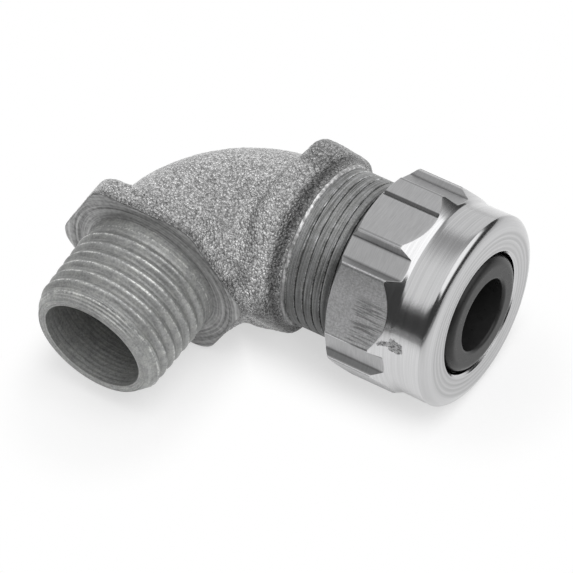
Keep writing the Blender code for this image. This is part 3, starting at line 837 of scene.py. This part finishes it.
nut = {
    "rear": 28.722, "front": 45.322, "flats": 6, "turn": 26.9,
    "edge": 0.07, "rearDrop": 0.1, "rearAngle": 54.0,
    "apothem": 14.88, "flatHalf": 5.2, "bevelHalf": 5.6, "bevelDrop": 0.16, "floor": 14.70, "floorHalf": 1.65,
    "coneEnd": 39.0, "coneAngle": 27.0, "collarRear": 14.45, "collar": 14.55,
    # painted shade along the front edge, and painted light and shade over the face's rings
    "edgeStart": 44.1, "edgeTurn": (44.95, 14.15), "edgeTone": 0.90,
    "faceRim": 12.75, "faceTone": 0.78, "faceRings": 0.09, "ringCount": 4, "ringDepth": 0.035,
    "mouth": 9.35, "mouthChamfer": 0.3, "lipRear": 42.422, "chamber": 12.53, "threadEnd": 37.522,
    "major": 12.28, "depth": 0.3, "leadIn": 0.7, "rearLead": 0.1, "endLead": 0.05, "step": 0.12,
    # painted light and shade across the flats' edges: bevel, wall, corner and channel floor darker, the ridge
    # a painted highlight
    "bevelTone": 0.60, "ridgeHighlight": 1.25, "wallTone": 0.66, "cornerShade": 0.42, "floorTone": 0.80,
    "grooveFlat": 1, "grooveOffset": -2.0, "grooveWidth": 0.95, "grooveDepth": 0.3,
    # the groove's tone is painted shade
    "grooveSkin": 0.03, "grooveMiddle": 0.05, "grooveEdge": 0.1, "grooveShade": (0.22, 0.5), "weld": 0.002,
}


def nutColumns():
    # angle, radius and tone across one sixth:
    # a flat in the middle, with a bevel, a wall and half of a channel's floor on either side
    n = nut
    turn = math.pi / n["flats"]
    across, out = np.array((-math.sin(turn), math.cos(turn))), np.array((math.cos(turn), math.sin(turn)))
    flatEdge = np.array((n["apothem"], n["flatHalf"]))
    bevelEdge = np.array((n["apothem"] - n["bevelDrop"], n["bevelHalf"]))
    floorEdge = out * n["floor"] - across * n["floorHalf"]
    e = n["edge"]
    grooveShares = np.array((-0.55, -0.5, -0.3, -0.12, 0.0, 0.12, 0.3, 0.5, 0.55))
    groove = np.abs(n["grooveOffset"] + n["grooveWidth"] * grooveShares)
    flatPlaces = np.union1d(np.linspace(0.0, n["flatHalf"] - e, 12), groove)
    points = [(n["apothem"], place, 1.0) for place in flatPlaces]
    # painted shade on bevel, wall and corner, and a painted highlight on the ridge
    bevelTones = (n["bevelTone"], n["bevelTone"], n["ridgeHighlight"])
    wallTones = (n["ridgeHighlight"], *[n["wallTone"]] * 4, n["cornerShade"])
    floorTones = (n["cornerShade"], *[n["floorTone"]] * 6)
    spans = (
        (flatEdge, bevelEdge, bevelTones),
        (bevelEdge, floorEdge, wallTones),
        (floorEdge, out * n["floor"], floorTones),
    )
    for first, last, tones in spans:
        length = np.linalg.norm(last - first)
        trim = 0.0 if tones is floorTones else e / length
        for share, tone in zip(np.linspace(e / length, 1.0 - trim, len(tones)), tones):
            points.append((*(first + (last - first) * share), tone))
    out, side, tone = np.array(points).T
    halves = ((np.arctan2(side, out), -1.0), (np.hypot(out, side), 1.0), (tone, 1.0))
    return [np.concatenate((half[:0:-1] * sign, half)) for half, sign in halves]


def makeNut():
    n = nut
    angle, prism, tone = nutColumns()
    rim = n["apothem"] - n["rearDrop"]
    inner, outer = np.minimum(prism, rim), np.maximum(prism - rim, 0.0)
    prismStart = n["rear"] + outer / math.tan(math.radians(n["rearAngle"]))
    slope = math.tan(math.radians(n["coneAngle"]))
    coneStart = n["coneEnd"] - (prism - n["collarRear"]) / slope
    rows = []

    def row(place, radius, cut=0.0, turned=1.0, shade=1.0):
        values = (place, radius, cut, turned, shade)
        rows.append([np.broadcast_to(np.asarray(value, float), angle.shape) for value in values])

    rearStart = n["major"] + n["rearLead"]
    for share in shares(5):
        row(n["rear"], rearStart + (inner - rearStart) * share)
    for share in (0.1, 0.9):
        row(n["rear"] + (prismStart - n["rear"]) * share, inner + outer * share)
    for share in shares(12):
        first, last = prismStart + n["edge"], coneStart - n["edge"]
        row(first + (last - first) * share, prism, 0.0, 0.0, tone)
    for share in shares(7):
        first, last = coneStart + n["edge"], n["coneEnd"] - n["edge"]
        place = first + (last - first) * share
        row(place, n["collarRear"] + (n["coneEnd"] - place) * slope)
    for share in shares(9):
        first, last = n["coneEnd"] + n["edge"], n["edgeStart"] - n["edge"]
        row(first + (last - first) * share, n["collarRear"] + (n["collar"] - n["collarRear"]) * share)
    # the front edge is a curve from the collar to the face, bent towards edgeTurn
    edgeFirst, edgeLast = np.array((n["edgeStart"], n["collar"])), np.array((n["front"], n["faceRim"]))
    edgeTurn = np.array(n["edgeTurn"])
    for share in np.linspace(0.02, 0.98, 14):
        rest = 1.0 - share
        place, radius = edgeFirst * rest ** 2 + edgeTurn * 2.0 * share * rest + edgeLast * share ** 2
        # painted shade along the front edge
        row(place, radius, shade=n["edgeTone"])
    faceEnd = n["mouth"] + n["mouthChamfer"]
    for share in shares(26):
        wave = math.cos(share * fullTurn * n["ringCount"])
        ring = n["ringDepth"] * (0.5 - 0.5 * wave) * (0.4 + 0.6 * share)
        radius = n["faceRim"] + (faceEnd - n["faceRim"]) * share
        # painted shade in the bottoms of the face's rings, painted light on their tops
        row(n["front"] - ring, radius, shade=n["faceTone"] + n["faceRings"] * wave)
    for share in shares(4):
        start = n["front"] - n["mouthChamfer"]
        row(start + (n["lipRear"] - start) * share, n["mouth"])
    row(n["lipRear"], n["chamber"])
    row((n["lipRear"] + n["threadEnd"]) / 2.0, n["chamber"])
    row(n["threadEnd"] + n["endLead"], n["chamber"])
    for place in np.arange(n["threadEnd"], n["rear"], -n["step"]):
        leadIn = easeStep(place, n["rear"], n["rear"] + n["leadIn"])
        runOut = easeStep(-place, -n["threadEnd"], -n["threadEnd"] + n["leadIn"])
        row(place, n["major"], float(leadIn * runOut))
    table = np.array(rows)
    place, radius, cut, turned, shade = (table[:, column].ravel() for column in range(5))
    around = np.tile(angle, len(rows))
    points = np.stack([place, radius * np.cos(around), radius * np.sin(around)], -1)
    faces = gridFaces(len(rows), len(angle), True, False)
    return addPiece("glandNut", points.tolist(), faces, {"cut": cut, "turned": turned, "tone": shade})


def makeSixfoldTree():
    net, wires = newTree("sixfold", {
        "Count": "NodeSocketInt", "First Turn": "NodeSocketFloat", "Material": "NodeSocketMaterial"})
    spots = net.node("GeometryNodeMeshLine", sockets={"Count": wires["Count"], "Offset": (0.0, 0.0, 0.0)})
    index = net.node("GeometryNodeInputIndex")
    turn = index * fullTurn / wires["Count"] + wires["First Turn"]
    copies = net.node("GeometryNodeInstanceOnPoints", sockets={
        "Points": spots, "Instance": wires["Geometry"], "Rotation": net.join(turn, 0.0, 0.0)})
    whole = net.node("GeometryNodeRealizeInstances", sockets={"Geometry": copies})
    whole = net.node("GeometryNodeMergeByDistance", sockets={"Geometry": whole, "Distance": nut["weld"]})
    return endTree(net, whole, wires["Material"])


def cutGroove(mesh):
    # index groove along one flat, with painted shade in it
    n = nut
    points = np.zeros(len(mesh.vertices) * 3)
    mesh.vertices.foreach_get("co", points)
    points = points.reshape(-1, 3)
    facing = math.radians(n["turn"]) + fullTurn / n["flats"] * n["grooveFlat"]
    out = points[:, 1] * math.cos(facing) + points[:, 2] * math.sin(facing)
    across = points[:, 2] * math.cos(facing) - points[:, 1] * math.sin(facing)
    share = np.clip(1.0 - np.abs(across - n["grooveOffset"]) / (n["grooveWidth"] / 2.0), 0.0, 1.0)
    share = np.where(out > n["apothem"] - n["grooveSkin"], share, 0.0)
    points[:, 1] -= share * n["grooveDepth"] * math.cos(facing)
    points[:, 2] -= share * n["grooveDepth"] * math.sin(facing)
    mesh.vertices.foreach_set("co", points.ravel())
    tones = np.zeros(len(mesh.vertices), np.float32)
    layer = mesh.attributes["tone"]
    layer.data.foreach_get("value", tones)
    # painted shade in the groove, darker on one half
    dark = np.where(across < n["grooveOffset"] + n["grooveMiddle"], *n["grooveShade"])
    layer.data.foreach_set("value", np.where(share > n["grooveEdge"], dark, tones).astype(np.float32))
    mesh.update()


glandNut = makeNut()
firstTurn = math.radians(nut["turn"])
addTree(glandNut, makeSixfoldTree(), {"Count": nut["flats"], "First Turn": firstTurn, "Material": nutSkin})
cutThread(glandNut, gland, gland["end"], nut["depth"], nutSkin)
cutGroove(setPlain(glandNut))
settle(glandNut, "nut", "gland_nut", nutSkin, sharp=16.0)


# rubber bushing and slip washer

bushing = {
    "tail": 29.122, "tailRadius": 7.6, "taperRadius": 10.23, "bore": 5.46,
    "shoulder": 39.122, "shoulderRadius": 12.08, "shoulderLength": 1.9,
    "nose": 8.9, "noseEnd": 45.772, "noseRound": 1.3, "mouthRound": 0.5, "softEdge": 0.25, "sides": 192,
}


def makeBushing():
    b = bushing
    soft = b["softEdge"]
    mouth = b["mouthRound"]
    collarEnd = b["shoulder"] + b["shoulderLength"]
    collarRim = b["shoulderRadius"] - soft
    noseStart, noseRim = b["noseEnd"] - b["noseRound"], b["nose"] - b["noseRound"]
    profile = line((b["tail"], b["bore"]), (b["tail"], b["tailRadius"] - soft), 5)
    profile += arc((b["tail"] + soft, b["tailRadius"] - soft), soft, -90.0, 0.0, 5)
    profile += line((b["tail"] + soft, b["tailRadius"]), (b["shoulder"], b["taperRadius"]), 14)
    profile += line((b["shoulder"], b["taperRadius"]), (b["shoulder"], collarRim), 4)
    profile += arc((b["shoulder"] + soft, collarRim), soft, -90.0, 0.0, 5)
    profile += arc((collarEnd - soft, collarRim), soft, 0.0, 90.0, 5)
    profile += line((collarEnd, collarRim), (collarEnd, b["nose"]), 4)
    profile += line((collarEnd, b["nose"]), (noseStart, b["nose"]), 6)
    profile += arc((noseStart, noseRim), b["noseRound"], 0.0, 90.0, 10)
    profile += line((b["noseEnd"], noseRim), (b["noseEnd"], b["bore"] + mouth), 8)
    profile += arc((b["noseEnd"] - mouth, b["bore"] + mouth), mouth, 90.0, 180.0, 10)
    profile += line((b["noseEnd"] - mouth, b["bore"]), (b["tail"], b["bore"]), 14)
    return turnedPiece("sealBushing", profile, b["sides"])


settle(makeBushing(), "gland_pack", "sealing_bushing", rubberSkin, sharp=40.0)

washer = {"rear": 41.322, "front": 42.122, "bore": 9.35, "rim": 12.08, "bevel": 0.12, "sides": 160}


def makeWasher():
    w = washer
    rear, front, bore, rim, s = w["rear"], w["front"], w["bore"], w["rim"], w["bevel"]
    corners = [
        (rear, bore + s), (rear, rim - s), (rear + s, rim), (front - s, rim),
        (front, rim - s), (front, bore + s), (front - s, bore), (rear + s, bore),
    ]
    profile = []
    for first, second in zip(corners, corners[1:] + corners[:1]):
        profile += line(first, second, 3)
    return turnedPiece("slipWasher", profile, w["sides"])


settle(makeWasher(), "gland_pack", "slip_ring", washerSkin, sharp=30.0)


# stage, light and camera

stage = {
    "size": 3.0, "floorColour": 0.93, "floorBounce": 0.6, "floorWhite": 0.54, "floorGloss": 0.4,
    "floorRough": 0.9, "floorSpecular": 0.1,
    "shadowNear": 9.0, "shadowFar": 17.5, "worldFill": 0.66,
    "dimNear": 40.0, "dimFar": 240.0, "dimColour": 0.15, "dimBack": 0.4, "dimSide": 60.0,
    "keyPower": 4.6, "keySize": 0.6, "keyPlace": (0.36, -0.12, 0.87),
    "tentRadius": 2.2, "tentLow": 0.06, "tentHigh": 0.42, "tentBack": 0.80, "tentSoft": 0.9, "tentWhite": 1.5,
    # where the tent's shades begin and end, as parts of a direction
    "slantEast": 0.94, "wallUp": (0.2, 0.85), "panelUp": (0.32, 0.52), "softSlant": (-0.80, -0.22),
    "panelSlant": (-0.48, -0.38), "panelEast": (-0.15, 0.15), "backSlant": (-0.92, -1.0),
    "frontEast": 0.37, "frontSlant": (-0.58, -0.66),
}


def seenRays(net):
    # rays that show the white background: camera, gloss and glass; and gloss alone
    camera = net.node("ShaderNodeLightPath", out="Is Camera Ray")
    gloss = net.other(camera, "Is Glossy Ray")
    return camera.high(gloss).high(net.other(camera, "Is Transmission Ray")), gloss


def makeFloor():
    s = stage
    half = s["size"] / 2.0
    corners = [(-half, -half, 0.0), (half, -half, 0.0), (half, half, 0.0), (-half, half, 0.0)]
    floor = addPiece("paleFloor", corners, [(0, 1, 2, 3)])
    material, net = blankSkin("floorPaper")
    seen, gloss = seenRays(net)
    white = net.node("ShaderNodeEmission", sockets={"Color": grey(1.0), "Strength": 1.0})
    # shadow shows near the two arms of the connector, plain white further off
    x, y = net.split(net.node("ShaderNodeTexCoord", out="Object"))[:2]
    x, y = (x - origin.x) / mm, (y - origin.y) / mm
    hubArm = net.length(x, y - y.low(0.0).high(-hub["end"]))
    glandArm = net.length(x - x.high(0.0).low(nut["front"]), y)
    away = hubArm.low(glandArm)
    share = away.ease(s["shadowNear"], s["shadowFar"], s["floorWhite"], 1.0)
    # metal also sees the shadow, and paper that darkens towards its far edge
    dim = gloss * away.between(s["dimNear"], s["dimFar"])
    dim = dim * (-y).ease(-s["dimSide"], s["dimSide"], s["dimBack"], 1.0)
    shown = (seen - gloss * (1.0 - s["floorGloss"])) * share * (1.0 - dim)
    paperColour = mixColour(net, seen, grey(s["floorBounce"]), grey(s["floorColour"]))
    paperColour = mixColour(net, dim, paperColour, grey(s["dimColour"]))
    shader = net.node("ShaderNodeBsdfPrincipled", sockets={
        "Base Color": paperColour, "Roughness": s["floorRough"], "Specular IOR Level": s["floorSpecular"]})
    paper = net.node("ShaderNodeMixShader", sockets={0: shown, 1: shader, 2: white})
    net.node("ShaderNodeOutputMaterial", sockets={"Surface": paper})
    floor.data.materials.append(material)


def makeWorld():
    world = bpy.data.worlds.new("paleRoom")
    world.use_nodes = True
    world.node_tree.nodes.clear()
    net = Net(world.node_tree)
    seen = seenRays(net)[0]
    fill = net.node("ShaderNodeBackground", sockets={"Color": grey(1.0), "Strength": stage["worldFill"]})
    white = net.node("ShaderNodeBackground", sockets={"Color": grey(1.0), "Strength": 1.0})
    mixed = net.node("ShaderNodeMixShader", sockets={0: seen, 1: fill, 2: white})
    net.node("ShaderNodeOutputWorld", sockets={"Surface": mixed})
    bpy.context.scene.world = world


def makeTent():
    # grey studio walls with a white panel overhead, which only shine in the metal
    s = stage
    rows, columns, gap = 13, 48, 0.01
    lift = np.linspace(gap, 0.5 * math.pi - gap, rows)
    turn = np.arange(columns) * fullTurn / columns
    x = np.outer(np.cos(lift), np.cos(turn)).ravel()
    y = np.outer(np.cos(lift), np.sin(turn)).ravel()
    z = np.repeat(np.sin(lift), columns)
    points = np.stack([x, y, z], -1) * s["tentRadius"]
    tent = addPiece("studioTent", points.tolist(), gridFaces(rows, columns, False, True))
    material, net = blankSkin("tentCloth")
    place = net.node("ShaderNodeTexCoord", out="Object")
    east, north, up = net.split(net.node("ShaderNodeVectorMath", {"operation": "NORMALIZE"}, {0: place}))
    slant = east * s["slantEast"] - north
    walls = up.ease(*s["wallUp"], s["tentLow"], s["tentHigh"])
    above = up.ease(*s["panelUp"])
    soft = slant.ease(*s["softSlant"]) * above
    walls = walls + soft * (s["tentSoft"] - walls)
    panel = slant.ease(*s["panelSlant"]) * east.ease(*s["panelEast"]) * above
    walls = walls + panel * (s["tentWhite"] - walls)
    backdrop = slant.ease(*s["backSlant"])
    walls = walls + backdrop * (s["tentBack"] - walls)
    front = (north - east * s["frontEast"]).ease(*s["frontSlant"])
    strength = walls + front * (s["tentLow"] - walls)
    cloth = net.colour(strength, strength, strength)
    shine = net.node("ShaderNodeEmission", sockets={"Color": cloth, "Strength": 1.0})
    net.node("ShaderNodeOutputMaterial", sockets={"Surface": shine})
    tent.data.materials.append(material)
    for ray in ("camera", "diffuse", "shadow", "transmission"):
        setattr(tent, "visible_" + ray, False)


def makeKey():
    data = bpy.data.lights.new("keyPanel", "AREA")
    data.shape = "SQUARE"
    data.size = stage["keySize"]
    data.energy = stage["keyPower"]
    lamp = bpy.data.objects.new("keyPanel", data)
    bpy.context.scene.collection.objects.link(lamp)
    lamp.visible_glossy = False
    lamp.location = stage["keyPlace"]
    lamp.rotation_euler = (-Vector(stage["keyPlace"])).to_track_quat("-Z", "Y").to_euler()


view = {
    "pixel": 0.1437, "distance": 5583.6, "width": 573.0, "sensor": 36.0,
    "turn": Vector((-0.613, -0.283, -0.523)), "shift": Vector((-72.99, 92.47, 0.0)),
    "clipStart": 0.01, "clipEnd": 20.0,
}


def makeCamera():
    # camera fitted to the photograph, in the connector's frame
    turn = Matrix.Rotation(view["turn"].length, 3, view["turn"].normalized())
    place = turn.transposed() @ (Vector((0.0, 0.0, view["distance"])) - view["shift"])
    data = bpy.data.cameras.new("photoCamera")
    data.sensor_width = view["sensor"]
    data.lens = view["sensor"] * view["distance"] / view["width"]
    data.clip_start = view["clipStart"]
    data.clip_end = view["clipEnd"]
    camera = bpy.data.objects.new("photoCamera", data)
    bpy.context.scene.collection.objects.link(camera)
    camera.matrix_world = stand @ Matrix.Translation(place * view["pixel"] * mm) @ turn.transposed().to_4x4()
    bpy.context.scene.camera = camera


makeFloor()
makeWorld()
makeTent()
makeKey()
makeCamera()
bpy.context.scene.view_settings.view_transform = "Standard"
print("stage, light and camera made")
